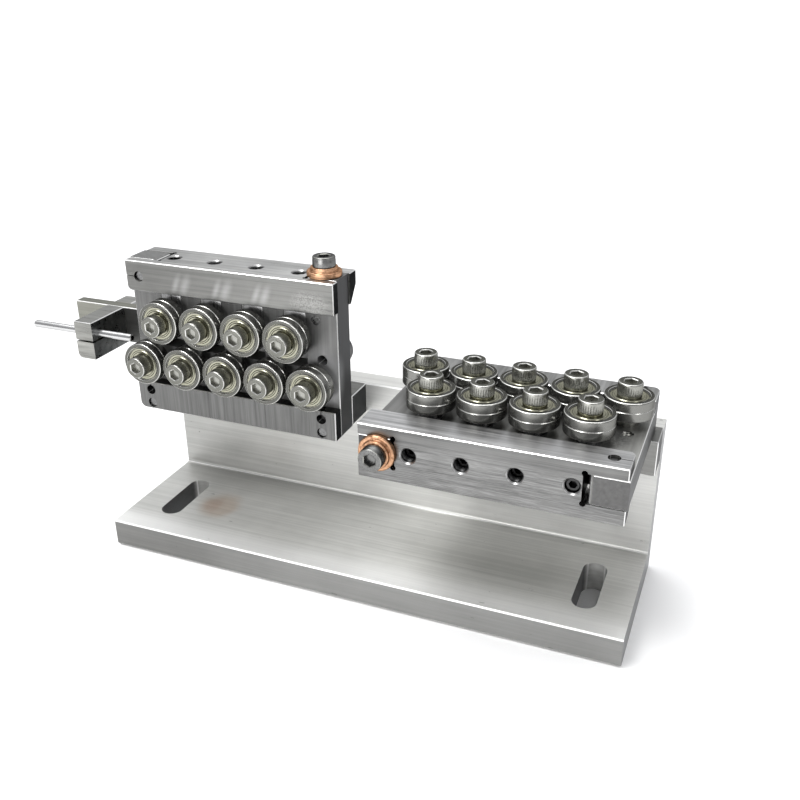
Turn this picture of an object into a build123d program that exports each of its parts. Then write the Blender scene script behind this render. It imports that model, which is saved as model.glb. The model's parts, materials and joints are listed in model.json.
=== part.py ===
from build123d import *
import os

os.makedirs("parts", exist_ok=True)

# Two-plane roller wire straightener on an angle bracket, in millimetres.
# Frame: origin on the foot's underside, midway between its two slots.
# +X is the way the wire travels, +Y is towards the upright flange, +Z is up.

# ---- angle bracket ----
foot_depth = 64.5
foot_thickness = 11.8
flange_thickness = 10.3
flange_height = 53.4
unit_gap = 25.0
bracket_inner_radius = 1.5
bracket_edge_chamfer = 0.5
bracket_toe_radius = 1.6
slot_width = 9.0
slot_length = 29.0
slot_inset = 16.8
slot_from_front = 26.8

# ---- roller unit, built in its own u, v, w ----
# u runs from the beam's hinge pin, v from the rail to the beam, w out to the rollers.
plate_thickness = 10.5
plate_end_margin = 8.9
plate_corner_radius = 2.5
edge_chamfer = 0.3
beam_height = 12.1
beam_front_stand = 3.9
beam_rear_stand = 5.6
beam_end_inset = 0.5
beam_overhang = 0.6
beam_toe_radius = 2.5
beam_rear_flat = 5.4
beam_rear_lip = 0.6
fork_side_gap = 0.1
fork_relief_radius = 1.0
hinge_ear_width = 12.4
hinge_ear_gap = 1.9
hinge_ear_radius = 2.0
clamp_ear_width = 11.2
clamp_ear_gap = 1.5
rail_height = 11.85
rail_thickness = 4.75
rail_to_roller = 1.85
row_gap = 1.2
roller_to_beam = 1.4

# ---- rollers ----
roller_side_gap = 1.1
fixed_count = 5
first_fixed_u = 7.9
moving_row_offset = 0.45
roller_radius = 8.5
roller_width = 7.0
roller_bore_radius = 6.9
roller_edge_chamfer = 0.45
roller_groove_width = 0.3
roller_groove_depth = 0.12
shield_thickness = 0.6
shield_inset = 0.35
ring_radius = 3.9
ring_width = 8.0
ring_bore_clearance = 0.05
shield_gap = 0.08
spacer_length = 3.15
spacer_radius = 4.0

# ---- axle screws ----
axle_radius = 2.5
axle_depth = 7.5
axle_head_radius = 4.25
axle_head_height = 4.2
head_socket_flats = 4.0
head_socket_depth = 2.4
head_chamfer = 0.4
thread_clearance = 0.05
hole_end_gap = 0.4
cut_margin = 1.0

# ---- sliders ----
slider_width = 9.0
slider_wide_width = 12.0
slider_front_thickness = 3.2
slider_thickness = 8.0
slider_side_gap = 0.06
slider_travel = 3.0
slider_end_gap = 0.6
slider_top_gap = 0.15
slot_floor_over_axle = 4.8
slider_axle_floor = 1.0

# ---- set screws ----
set_screw_radius = 2.45
set_screw_length = 8.0
long_set_screw_length = 10.6
set_screw_tip_gap = 0.1
set_screw_flats = 2.5
set_screw_socket_depth = 3.0
bore_mouth_chamfer = 0.5

# ---- beam hinge ----
hinge_pin_radius = 2.0
hinge_pin_clearance = 0.05
hinge_pin_u = 6.3
hinge_pin_from_top = 6.2
hinge_pin_recess = 1.0
saw_cut_width = 0.35

# ---- beam clamp ----
clamp_from_end = 7.0
clamp_screw_radius = 2.4
clamp_hole_clearance = 0.4
clamp_screw_reach = 8.5
clamp_hole_depth = 11.5
clamp_head_radius = 4.3
clamp_head_height = 3.8
washer_radius = 6.55
washer_thickness = 2.2
washer_tier_radius = 5.1
washer_tier_thickness = 1.5
washer_bore_clearance = 0.3

# ---- pins, rear screws and side holes ----
pin_radius = 2.0
pin_inset = 6.0
low_pin_v = 2.7
high_pin_below_rail = 3.35
low_pin_recess = 0.8
high_pin_recess = 3.2
pin_reach = 9.0
dowel_radius = 1.75
dowel_from_end = 8.9
dowel_below_beam = 3.8
dowel_floor = 1.5
side_hole_clearance = 0.1
inlet_hole_u = 6.2
outer_hole_from_end = 6.8
side_hole_below_wire = 0.6
rear_screw_radius = 2.0
rear_screw_reach = 5.5
rear_head_radius = 6.5
rear_head_height = 4.5

# ---- mounting blocks and their screws ----
block_height = 12.5
left_unit_inset = 1.0
right_unit_inset = 2.6
block_screw_radius = 2.5
block_screw_reach = 9.0
block_head_radius = 4.25
block_head_height = 5.0
head_pocket_gap = 0.4
block_screw_inset = 15.0
plate_screw_inset = 24.0
plate_screw_v = 6.0
plate_screw_reach = 8.0

# ---- inlet guide ----
tube_radius = 1.5
tube_bore_radius = 0.95
tube_left_reach = 45.0
tube_right_reach = 3.0
guide_height = 15.6
guide_above_wire = 5.2
strip_thickness = 5.0
strip_left_reach = 38.3
strip_behind_plate = 13.5
arm_width = 8.3
arm_right_gap = 13.7
arm_front_to_wire = 3.6
arm_rear_length = 8.0
arm_toe_radius = 2.0
lap_gap = 0.05
jaw_cut_width = 0.8
jaw_cut_below_wire = 2.9
jaw_cut_depth = 14.5
jaw_screw_radius = 1.5
jaw_head_radius = 2.75
jaw_head_height = 3.0
jaw_screw_from_front = 10.0
jaw_socket_flats = 2.5
jaw_socket_depth = 1.6
jaw_hole_roof = 2.0
strip_screw_head_radius = 3.5
strip_screw_head_height = 4.0
strip_screw_reach = 6.0
strip_socket_flats = 3.0
strip_socket_depth = 2.0

# ---- worked out from the sizes above ----
moving_count = fixed_count - 1
roller_pitch = 2 * roller_radius + roller_side_gap
first_moving_u = first_fixed_u + roller_pitch / 2 + moving_row_offset
unit_length = first_fixed_u + roller_pitch * (fixed_count - 1) + plate_end_margin
block_length = unit_length
bracket_length = left_unit_inset + unit_length + unit_gap + unit_length + right_unit_inset
fixed_v = rail_height + rail_to_roller + roller_radius
high_pin_v = rail_height - high_pin_below_rail
moving_v = fixed_v + 2 * roller_radius + row_gap
beam_v = moving_v + roller_radius + roller_to_beam
unit_height = beam_v + beam_height
wire_v = (fixed_v + moving_v) / 2
slot_floor_v = fixed_v + slot_floor_over_axle
dowel_v = beam_v - dowel_below_beam
dowel_length = plate_thickness - dowel_floor
side_hole_v = wire_v - side_hole_below_wire
outer_hole_u = unit_length - outer_hole_from_end
set_screw_bore = set_screw_radius + thread_clearance
clamp_hole_radius = clamp_screw_radius + clamp_hole_clearance
washer_bore_radius = clamp_screw_radius + washer_bore_clearance
side_hole_radius = rear_screw_radius + side_hole_clearance
ring_w = spacer_length
roller_w = ring_w + (ring_width - roller_width) / 2
wire_w = roller_w + roller_width / 2
head_w = ring_w + ring_width
hinge_pin_v = unit_height - hinge_pin_from_top
clamp_u = unit_length - clamp_from_end
fork_front_w = fork_side_gap
fork_rear_w = -plate_thickness - fork_side_gap
beam_rear_w = -plate_thickness - beam_rear_stand
beam_left_u = beam_end_inset
beam_right_u = unit_length + beam_overhang
middle_left_u = hinge_ear_width + hinge_ear_gap
middle_right_u = unit_length - clamp_ear_width - clamp_ear_gap
screw_w = -plate_thickness / 2
slider_low_v = slot_floor_v + slider_travel + slider_end_gap
slider_high_v = beam_v - slider_top_gap
block_depth = wire_v - wire_w - plate_thickness

# The upright unit faces the front and the flat unit faces up, on one wire line.
flange_front_y = foot_depth - flange_thickness
wire_y = flange_front_y - wire_v
upright_z = flange_height - block_height
wire_z = upright_z + wire_v
to_origin = Pos(-bracket_length / 2, -slot_from_front, foot_thickness)
upright_place = to_origin * Location((left_unit_inset, wire_y + wire_w, upright_z), (90, 0, 0))
flat_x = bracket_length - right_unit_inset
flat_place = to_origin * Location((flat_x, flange_front_y, wire_z - wire_w), (0, 0, 180))
units = {"upright": upright_place, "flat": flat_place}


def box(low, high):
    """A box between two opposite corners."""
    size = [high[i] - low[i] for i in range(3)]
    middle = [(high[i] + low[i]) / 2 for i in range(3)]
    return Pos(*middle) * Box(*size)


def rod_w(u, v, low, high, radius):
    """A cylinder along w."""
    return Pos(u, v, (low + high) / 2) * Cylinder(radius, high - low)


def rod_v(u, w, low, high, radius):
    """A cylinder along v."""
    return Pos(u, (low + high) / 2, w) * Rot(90, 0, 0) * Cylinder(radius, high - low)


def rod_y(x, z, low, high, radius):
    """A cylinder along the bracket's Y."""
    return Pos(x, (low + high) / 2, z) * Rot(90, 0, 0) * Cylinder(radius, high - low)


def rod_x(y, z, low, high, radius):
    """A cylinder along the bracket's X."""
    return Pos((low + high) / 2, y, z) * Rot(0, 90, 0) * Cylinder(radius, high - low)


def rod_z(x, y, low, high, radius):
    """A cylinder along the bracket's Z."""
    return Pos(x, y, (low + high) / 2) * Cylinder(radius, high - low)


def hex_hole(flats, depth):
    """A hexagonal socket that opens upwards at height 0."""
    outline = RegularPolygon(flats / 2, 6, major_radius=False)
    return extrude(outline, -depth)


def cap_screw(
    shank_radius, reach, head_radius, head_height, flats=head_socket_flats, socket_depth=head_socket_depth
):
    """A socket cap screw along its own Z: the head stands on height 0, the shank goes down."""
    head = Pos(0, 0, head_height / 2) * Cylinder(head_radius, head_height)
    rim = head.edges().filter_by(GeomType.CIRCLE).group_by(Axis.Z)[-1]
    head = chamfer(rim, head_chamfer)
    head -= Pos(0, 0, head_height) * hex_hole(flats, socket_depth)
    shank = Pos(0, 0, -reach / 2) * Cylinder(shank_radius, reach)
    end = shank.edges().filter_by(GeomType.CIRCLE).group_by(Axis.Z)[0]
    return head + chamfer(end, head_chamfer)


def set_screw(length):
    """A headless socket screw along its own Z, with its socket at height 0."""
    body = Pos(0, 0, -length / 2) * Cylinder(set_screw_radius, length)
    body = chamfer(body.edges().filter_by(GeomType.CIRCLE), head_chamfer)
    return body - hex_hole(set_screw_flats, set_screw_socket_depth)


def save(shape, node):
    """Writes one sub-part."""
    shape.label = node
    export_step(shape, f"parts/{node}.step")


def save_group(solids, node):
    """Writes several like pieces as one sub-part of separate solids."""
    save(Compound(children=solids), node)


def fixed_places():
    return [first_fixed_u + roller_pitch * i for i in range(fixed_count)]


def moving_places():
    return [first_moving_u + roller_pitch * i for i in range(moving_count)]


# ---- bracket ----
def block_screw_places():
    """Where the two blocks' screws pass the flange, along the bracket."""
    upright_left = left_unit_inset
    flat_left = bracket_length - block_length
    places = []
    for left in (upright_left, flat_left):
        places.append(left + block_screw_inset)
        places.append(left + block_length - block_screw_inset)
    return places


def block_screw_z():
    return upright_z + block_height / 2


def make_bracket():
    low = -foot_thickness
    with BuildPart() as angle:
        with BuildSketch(Plane.YZ):
            with BuildLine():
                Polyline(
                    (0, low),
                    (foot_depth, low),
                    (foot_depth, flange_height),
                    (flange_front_y, flange_height),
                    (flange_front_y, 0),
                    (0, 0),
                    close=True,
                )
            make_face()
            fillet(vertices().sort_by_distance((flange_front_y, 0))[0], bracket_inner_radius)
            fillet(vertices().sort_by_distance((0, low))[0], bracket_toe_radius)
        extrude(amount=bracket_length)
    bracket = angle.part
    outer_x = bracket.edges().filter_by(Axis.X)
    sharp = outer_x.filter_by(GeomType.LINE)
    top = sharp.group_by(Axis.Z)[-1]
    front = sharp.filter_by_position(Axis.Y, 0, 0).sort_by(Axis.Z)[-1]
    bracket = chamfer(list(top) + [front], bracket_edge_chamfer)
    for x in (slot_inset, bracket_length - slot_inset):
        slot = Rot(0, 0, 90) * SlotOverall(slot_length, slot_width)
        bracket -= extrude(Pos(x, slot_from_front, low) * slot, foot_thickness)
    pocket = block_head_height + head_pocket_gap
    hole_radius = block_screw_radius + thread_clearance
    seat_radius = block_head_radius + head_pocket_gap
    for x in block_screw_places():
        bracket -= rod_y(x, block_screw_z(), flange_front_y, foot_depth, hole_radius)
        bracket -= rod_y(x, block_screw_z(), foot_depth - pocket, foot_depth, seat_radius)
    return bracket


def make_block_screws():
    """Cap screws from behind the flange into both blocks."""
    seat_y = foot_depth - block_head_height - head_pocket_gap
    reach = seat_y - flange_front_y + block_screw_reach
    screw = cap_screw(block_screw_radius, reach, block_head_radius, block_head_height)
    return [Pos(x, seat_y, block_screw_z()) * Rot(-90, 0, 0) * screw for x in block_screw_places()]


# ---- mounting blocks: v is the height of the block, w goes away from the rollers ----
def make_block(u_low, from_back):
    """One block behind a unit's rail, drilled for the bracket's and the plate's screws."""
    rear_w = -plate_thickness - block_depth
    block = box((u_low, 0, rear_w), (u_low + block_length, block_height, -plate_thickness))
    block = chamfer(block.edges(), edge_chamfer)
    hole_radius = block_screw_radius + thread_clearance
    hole_depth = block_screw_reach + hole_end_gap
    flat_screw_w = wire_w - wire_z + block_screw_z()
    for u in (u_low + block_screw_inset, u_low + block_length - block_screw_inset):
        if from_back:
            block -= rod_w(u, block_height / 2, rear_w, rear_w + hole_depth, hole_radius)
        else:
            block -= rod_v(u, flat_screw_w, 0, hole_depth, hole_radius)
    for u in plate_screw_places():
        end_w = -plate_thickness - plate_screw_reach - hole_end_gap
        block -= rod_w(u, plate_screw_v, end_w, -plate_thickness, hole_radius)
    for u, v in rail_pin_places():
        end_w = -plate_thickness - pin_reach
        block -= rod_w(u, v, end_w, -plate_thickness, pin_radius)
    return block


# ---- body plate ----
def plate_screw_places():
    return [plate_screw_inset, unit_length - plate_screw_inset]


def rail_pin_places():
    """The two pins at each end of the rail, as (u, v)."""
    ends = (pin_inset, unit_length - pin_inset)
    return [(u, v) for u in ends for v in (low_pin_v, high_pin_v)]


def slider_section(width, wide, thickness, front):
    """The stepped cross-section of a slider in u and w, centred on u = 0, front at w = 0."""
    half = width / 2
    half_wide = wide / 2
    corners = [
        (-half, 0),
        (half, 0),
        (half, -front),
        (half_wide, -front),
        (half_wide, -thickness),
        (-half_wide, -thickness),
        (-half_wide, -front),
        (-half, -front),
    ]
    return Plane.XZ * make_face(Polyline(*corners, close=True))


def slider_slot():
    """The cut in the plate that a slider runs in, open at the front and the top."""
    gap = slider_side_gap
    narrow = slider_width + 2 * gap
    wide = slider_wide_width + 2 * gap
    section = slider_section(narrow, wide, slider_thickness + gap, slider_front_thickness - gap)
    length = beam_v - slot_floor_v
    return Pos(0, beam_v, 0) * extrude(section, length)


def make_plate():
    ear_right = unit_length - clamp_ear_width
    with BuildPart() as plate_part:
        with BuildSketch():
            with BuildLine():
                Polyline(
                    (0, 0),
                    (unit_length, 0),
                    (unit_length, unit_height),
                    (ear_right, unit_height),
                    (ear_right, beam_v),
                    (hinge_ear_width, beam_v),
                    (hinge_ear_width, unit_height),
                    (0, unit_height),
                    close=True,
                )
            make_face()
            fillet(vertices().sort_by_distance((0, 0))[0], plate_corner_radius)
            fillet(vertices().sort_by_distance((hinge_ear_width, unit_height))[0], hinge_ear_radius)
        extrude(amount=-plate_thickness)
    plate = plate_part.part
    plate = chamfer(plate.faces().filter_by(Axis.Z).edges(), edge_chamfer)
    for u in moving_places():
        plate -= Pos(u, 0, 0) * slider_slot()
    for u in fixed_places():
        plate -= rod_w(u, fixed_v, -axle_depth - hole_end_gap, 0, axle_radius + thread_clearance)
    plate -= rod_w(hinge_pin_u, hinge_pin_v, -plate_thickness, 0, hinge_pin_radius)
    plate -= rod_v(clamp_u, screw_w, unit_height - clamp_hole_depth, unit_height, clamp_hole_radius)
    for u, v in rail_pin_places():
        plate -= rod_w(u, v, -plate_thickness, 0, pin_radius)
    for u in plate_screw_places():
        plate -= rod_w(u, plate_screw_v, -plate_thickness, 0, block_screw_radius + thread_clearance)
        seat = -axle_head_height - head_pocket_gap
        plate -= rod_w(u, plate_screw_v, seat, 0, axle_head_radius + head_pocket_gap)
    plate -= rod_w(unit_length - dowel_from_end, dowel_v, -dowel_length, 0, dowel_radius)
    for u in (inlet_hole_u, outer_hole_u):
        plate -= rod_w(u, side_hole_v, -plate_thickness, 0, side_hole_radius)
    return plate


def make_rail():
    """The lower guide rail on the plate's front, pinned at both ends, with a saw cut at each pin."""
    with BuildPart() as rail_part:
        with BuildSketch():
            Rectangle(unit_length, rail_height, align=(Align.MIN, Align.MIN))
            corner = vertices().sort_by(lambda p: p.X + p.Y)[0]
            fillet(corner, plate_corner_radius)
        extrude(amount=rail_thickness)
    rail = rail_part.part
    rail = chamfer(rail.faces().filter_by(Axis.Z).sort_by(Axis.Z)[-1].edges(), edge_chamfer)
    half_cut = saw_cut_width / 2
    for u, v in rail_pin_places():
        rail -= rod_w(u, v, 0, rail_thickness, pin_radius)
        edge_v = 0 if v == low_pin_v else rail_height
        low, high = min(v, edge_v), max(v, edge_v)
        rail -= box((u - half_cut, low, 0), (u + half_cut, high, rail_thickness))
    return rail


def make_rail_pins():
    pins = []
    for u, v in rail_pin_places():
        recess = low_pin_recess if v == low_pin_v else high_pin_recess
        top = rail_thickness - recess
        end = -plate_thickness - pin_reach + hole_end_gap
        pin = rod_w(u, v, end, top, pin_radius)
        pins.append(chamfer(pin.edges().filter_by(GeomType.CIRCLE), edge_chamfer))
    return pins


def make_plate_screws():
    """Cap screws sunk in the plate under the rail, into the mounting block."""
    seat = -axle_head_height - head_pocket_gap
    reach = plate_thickness + seat + plate_screw_reach
    screw = cap_screw(block_screw_radius, reach, axle_head_radius, axle_head_height)
    return [Pos(u, plate_screw_v, seat) * screw for u in plate_screw_places()]


# ---- rollers ----
def make_roller():
    """An outer ring with its two shields, hollow inside, centred on u = v = 0."""
    half = roller_width / 2
    edge = roller_edge_chamfer
    cut = roller_groove_width / 2
    lip = ring_radius + shield_gap
    shield_out = half - shield_inset
    shield_in = shield_out - shield_thickness
    outline = [
        (lip, shield_out),
        (roller_bore_radius, shield_out),
        (roller_bore_radius, half),
        (roller_radius - edge, half),
        (roller_radius, half - edge),
        (roller_radius, cut),
        (roller_radius - roller_groove_depth, 0),
        (roller_radius, -cut),
        (roller_radius, -half + edge),
        (roller_radius - edge, -half),
        (roller_bore_radius, -half),
        (roller_bore_radius, -shield_out),
        (lip, -shield_out),
        (lip, -shield_in),
        (roller_bore_radius, -shield_in),
        (roller_bore_radius, shield_in),
        (lip, shield_in),
    ]
    section = Plane.XZ * make_face(Polyline(*outline, close=True))
    return revolve(section, Axis.Z)


def roller_at(u, v):
    return Pos(u, v, wire_w) * make_roller()


def inner_ring_at(u, v):
    """The inner ring, with the bore that the axle screw fills."""
    ring = rod_w(u, v, ring_w, head_w, ring_radius)
    ring = chamfer(ring.edges().filter_by(GeomType.CIRCLE), edge_chamfer)
    return ring - rod_w(u, v, ring_w, head_w, axle_radius + ring_bore_clearance)


def spacer_at(u, v):
    spacer = rod_w(u, v, 0, spacer_length, spacer_radius)
    spacer = chamfer(spacer.edges().filter_by(GeomType.CIRCLE).group_by(Axis.Z)[-1], edge_chamfer)
    return spacer - rod_w(u, v, 0, spacer_length, axle_radius + ring_bore_clearance)


def axle_screw_at(u, v, depth):
    screw = cap_screw(axle_radius, head_w + depth, axle_head_radius, axle_head_height)
    return Pos(u, v, head_w) * screw


# ---- sliders ----
def make_slider(u):
    """A slider block with its tapped axle hole, its spacer, inner ring and axle screw."""
    section = slider_section(slider_width, slider_wide_width, slider_thickness, slider_front_thickness)
    block = Pos(u, slider_high_v, 0) * extrude(section, slider_high_v - slider_low_v)
    block -= rod_w(u, moving_v, -slider_thickness, 0, axle_radius + thread_clearance)
    screw = axle_screw_at(u, moving_v, slider_thickness - slider_axle_floor)
    return [block, spacer_at(u, moving_v), inner_ring_at(u, moving_v), screw]


# ---- beam that closes the sliders' slots ----
def make_beam():
    outline = [
        (beam_front_stand, beam_v),
        (beam_front_stand, unit_height),
        (beam_rear_w, unit_height),
        (beam_rear_w, unit_height - beam_rear_flat),
        (fork_rear_w - beam_rear_lip, beam_v),
    ]
    section = make_face(Polyline(*[(0, v, w) for w, v in outline], close=True))
    beam = Pos(beam_left_u, 0, 0) * extrude(section, beam_right_u - beam_left_u, dir=(1, 0, 0))
    beam = chamfer(beam.edges(), edge_chamfer)
    relief = fork_relief_radius
    below = beam_v - cut_margin
    above = unit_height + cut_margin
    left = beam_left_u - cut_margin
    forks = ((left, middle_left_u), (middle_right_u, beam_right_u + cut_margin))
    for low, high in forks:
        beam -= box((low, below, fork_rear_w), (high, above, fork_front_w))
    for u in (middle_left_u - relief / 2, middle_right_u + relief / 2):
        for w in (fork_rear_w, fork_front_w):
            beam -= rod_v(u, w, below, above, relief)
    toe_u = beam_left_u + beam_toe_radius
    toe_v = beam_v + beam_toe_radius
    cheeks = ((beam_rear_w - cut_margin, fork_rear_w), (fork_front_w, beam_front_stand + cut_margin))
    for low_w, high_w in cheeks:
        toe = box((left, below, low_w), (toe_u, toe_v, high_w))
        beam -= toe - rod_w(toe_u, toe_v, low_w, high_w, beam_toe_radius)
    bore = hinge_pin_radius + hinge_pin_clearance
    beam -= rod_w(hinge_pin_u, hinge_pin_v, beam_rear_w, beam_front_stand, bore)
    half_cut = saw_cut_width / 2
    saw_high = (hinge_pin_u, hinge_pin_v + half_cut, beam_front_stand)
    beam -= box((left, hinge_pin_v - half_cut, fork_front_w), saw_high)
    for u in moving_places():
        beam -= rod_v(u, screw_w, beam_v, unit_height, set_screw_bore)
        mouth = Cone(set_screw_bore, set_screw_bore + bore_mouth_chamfer, bore_mouth_chamfer)
        beam -= Pos(u, unit_height - bore_mouth_chamfer / 2, screw_w) * Rot(-90, 0, 0) * mouth
    return beam


def make_set_screw(index, u):
    """A set screw standing on its slider; the one beside the hinge is longer."""
    length = long_set_screw_length if index == 0 else set_screw_length
    top = beam_v + set_screw_tip_gap + length
    return Pos(u, top, screw_w) * Rot(-90, 0, 0) * set_screw(length)


def make_hinge_pin():
    low = beam_rear_w + hinge_pin_recess
    high = beam_front_stand - hinge_pin_recess
    pin = rod_w(hinge_pin_u, hinge_pin_v, low, high, hinge_pin_radius)
    return chamfer(pin.edges().filter_by(GeomType.CIRCLE), edge_chamfer)


def make_dowel():
    dowel = rod_w(unit_length - dowel_from_end, dowel_v, -dowel_length, 0, dowel_radius)
    return chamfer(dowel.edges().filter_by(GeomType.CIRCLE), edge_chamfer)


def make_rear_screw():
    """A round-headed screw in the outer side hole, from behind the plate."""
    seat = -plate_thickness
    head = rod_w(outer_hole_u, side_hole_v, seat - rear_head_height, seat, rear_head_radius)
    head = chamfer(head.edges().filter_by(GeomType.CIRCLE), head_chamfer)
    return head + rod_w(outer_hole_u, side_hole_v, seat, seat + rear_screw_reach, rear_screw_radius)


def make_washer():
    """The two-tier clamp washer, standing on the beam."""
    low = unit_height
    tier = low + washer_thickness
    top = tier + washer_tier_thickness
    flange = rod_v(clamp_u, screw_w, low, tier, washer_radius)
    flange = chamfer(flange.edges().filter_by(GeomType.CIRCLE), edge_chamfer)
    upper = rod_v(clamp_u, screw_w, tier - edge_chamfer, top, washer_tier_radius)
    upper = chamfer(upper.edges().filter_by(GeomType.CIRCLE).group_by(Axis.Y)[-1], edge_chamfer)
    return flange + upper - rod_v(clamp_u, screw_w, low, top, washer_bore_radius)


def make_clamp_screw():
    seat = unit_height + washer_thickness + washer_tier_thickness
    reach = seat - unit_height + clamp_screw_reach
    screw = cap_screw(clamp_screw_radius, reach, clamp_head_radius, clamp_head_height)
    return Pos(clamp_u, seat, screw_w) * Rot(-90, 0, 0) * screw


# ---- inlet guide, in the bracket's own X, Y and Z ----
guide_top = wire_z + guide_above_wire
guide_low = guide_top - guide_height
guide_middle = (guide_top + guide_low) / 2
strip_front_y = wire_y + wire_w + plate_thickness
strip_rear_y = strip_front_y + strip_thickness
arm_left_x = -arm_right_gap - arm_width
arm_right_x = -arm_right_gap
arm_middle_x = (arm_left_x + arm_right_x) / 2
arm_front_y = wire_y - arm_front_to_wire
arm_rear_y = strip_rear_y + arm_rear_length
jaw_screw_y = arm_front_y + jaw_screw_from_front
lap_screw_z = guide_middle + guide_height / 4
jaw_seat_z = guide_low + jaw_head_height + head_pocket_gap
lap_seat_y = arm_rear_y - jaw_head_height - head_pocket_gap
inlet_hole_x = left_unit_inset + inlet_hole_u
inlet_hole_z = upright_z + side_hole_v


def make_guide_strip():
    """The flat strip behind the upright plate, notched below where the arm crosses it."""
    strip = box(
        (-strip_left_reach, strip_front_y, guide_low),
        (left_unit_inset + strip_behind_plate, strip_rear_y, guide_top),
    )
    strip = chamfer(strip.edges(), edge_chamfer)
    strip -= box(
        (arm_left_x - lap_gap, strip_front_y, guide_low),
        (arm_right_x + lap_gap, strip_rear_y, guide_middle + lap_gap),
    )
    plate_hole = rear_screw_radius + thread_clearance
    lap_hole = jaw_screw_radius + thread_clearance
    strip -= rod_y(inlet_hole_x, inlet_hole_z, strip_front_y, strip_rear_y, plate_hole)
    return strip - rod_y(arm_middle_x, lap_screw_z, strip_front_y, strip_rear_y, lap_hole)


def make_guide_arm():
    """The arm that grips the tube in its split front end."""
    arm = box((arm_left_x, arm_front_y, guide_low), (arm_right_x, arm_rear_y, guide_top))
    toe = arm.edges().filter_by(Axis.Y).sort_by(lambda e: e.center().X + e.center().Z)[0]
    arm = fillet(toe, arm_toe_radius)
    arm = chamfer(arm.faces().sort_by(Axis.Z)[-1].edges(), edge_chamfer)
    lap_low = (arm_left_x, strip_front_y - lap_gap, guide_middle)
    arm -= box(lap_low, (arm_right_x, strip_rear_y + lap_gap, guide_top))
    arm -= rod_x(wire_y, wire_z, arm_left_x, arm_right_x, tube_radius)
    cut_z = wire_z - jaw_cut_below_wire
    half_cut = jaw_cut_width / 2
    cut_high = (arm_right_x, arm_front_y + jaw_cut_depth, cut_z + half_cut)
    arm -= box((arm_left_x, arm_front_y, cut_z - half_cut), cut_high)
    arm -= box((arm_left_x, wire_y - half_cut, cut_z), (arm_right_x, wire_y + half_cut, wire_z))
    hole_radius = jaw_screw_radius + thread_clearance
    pocket_radius = jaw_head_radius + head_pocket_gap
    roof = guide_top - jaw_hole_roof
    arm -= rod_z(arm_middle_x, jaw_screw_y, jaw_seat_z, roof, hole_radius)
    arm -= rod_z(arm_middle_x, jaw_screw_y, guide_low, jaw_seat_z, pocket_radius)
    arm -= rod_y(arm_middle_x, lap_screw_z, strip_rear_y, arm_rear_y, hole_radius)
    return arm - rod_y(arm_middle_x, lap_screw_z, lap_seat_y, arm_rear_y, pocket_radius)


def make_guide_tube():
    tube = rod_x(wire_y, wire_z, -tube_left_reach, tube_right_reach, tube_radius)
    tube = chamfer(tube.edges().filter_by(GeomType.CIRCLE), edge_chamfer)
    return tube - rod_x(wire_y, wire_z, -tube_left_reach, tube_right_reach, tube_bore_radius)


def make_guide_screws():
    """The jaw screw from below, the lap screw from behind, and the strip's screw into the plate."""
    jaw_head = (jaw_head_radius, jaw_head_height, jaw_socket_flats, jaw_socket_depth)
    strip_head = (strip_screw_head_radius, strip_screw_head_height, strip_socket_flats, strip_socket_depth)
    jaw = cap_screw(jaw_screw_radius, guide_top - jaw_hole_roof - hole_end_gap - jaw_seat_z, *jaw_head)
    lap = cap_screw(jaw_screw_radius, lap_seat_y - strip_front_y - hole_end_gap, *jaw_head)
    strip = cap_screw(rear_screw_radius, strip_thickness + strip_screw_reach, *strip_head)
    return [
        Pos(arm_middle_x, jaw_screw_y, jaw_seat_z) * Rot(180, 0, 0) * jaw,
        Pos(arm_middle_x, lap_seat_y, lap_screw_z) * Rot(-90, 0, 0) * lap,
        Pos(inlet_hole_x, strip_rear_y, inlet_hole_z) * Rot(-90, 0, 0) * strip,
    ]


# ---- write every sub-part ----
save(to_origin * make_bracket(), "angle_bracket")
save_group([to_origin * screw for screw in make_block_screws()], "block_screws")
save(to_origin * make_guide_strip(), "guide_strip")
save(to_origin * make_guide_arm(), "guide_arm")
save(to_origin * make_guide_tube(), "guide_tube")
save_group([to_origin * screw for screw in make_guide_screws()], "guide_screws")

plate, rail, beam = make_plate(), make_rail(), make_beam()
shared = {
    "plate_screws": make_plate_screws(),
    "rail_pins": make_rail_pins(),
    "hinge_pins": [make_hinge_pin()],
    "dowel_pins": [make_dowel()],
    "rear_screws": [make_rear_screw()],
    "fixed_axle_screws": [axle_screw_at(u, fixed_v, axle_depth) for u in fixed_places()],
    "fixed_inner_rings": [inner_ring_at(u, fixed_v) for u in fixed_places()],
    "fixed_spacers": [spacer_at(u, fixed_v) for u in fixed_places()],
}
for node, pieces in shared.items():
    save_group([place * piece for place in units.values() for piece in pieces], node)

flat_block_u = flat_x - bracket_length
for unit, place in units.items():
    from_back = unit == "upright"
    block_u = 0 if from_back else flat_block_u
    save(place * make_block(block_u, from_back), f"{unit}_mounting_block")
    save(place * plate, f"{unit}_body_plate")
    save(place * rail, f"{unit}_rail")
    save(place * beam, f"{unit}_beam")
    save(place * make_washer(), f"{unit}_clamp_washer")
    save(place * make_clamp_screw(), f"{unit}_clamp_screw")
    for i, u in enumerate(fixed_places()):
        save(place * roller_at(u, fixed_v), f"{unit}_fixed_roller_{i + 1}")
    for i, u in enumerate(moving_places()):
        save_group([place * piece for piece in make_slider(u)], f"{unit}_slider_{i + 1}")
        save(place * roller_at(u, moving_v), f"{unit}_moving_roller_{i + 1}")
        save(place * make_set_screw(i, u), f"{unit}_set_screw_{i + 1}")
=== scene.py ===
import json
import math

import bmesh
import bpy
from mathutils import Matrix, Vector


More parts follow.
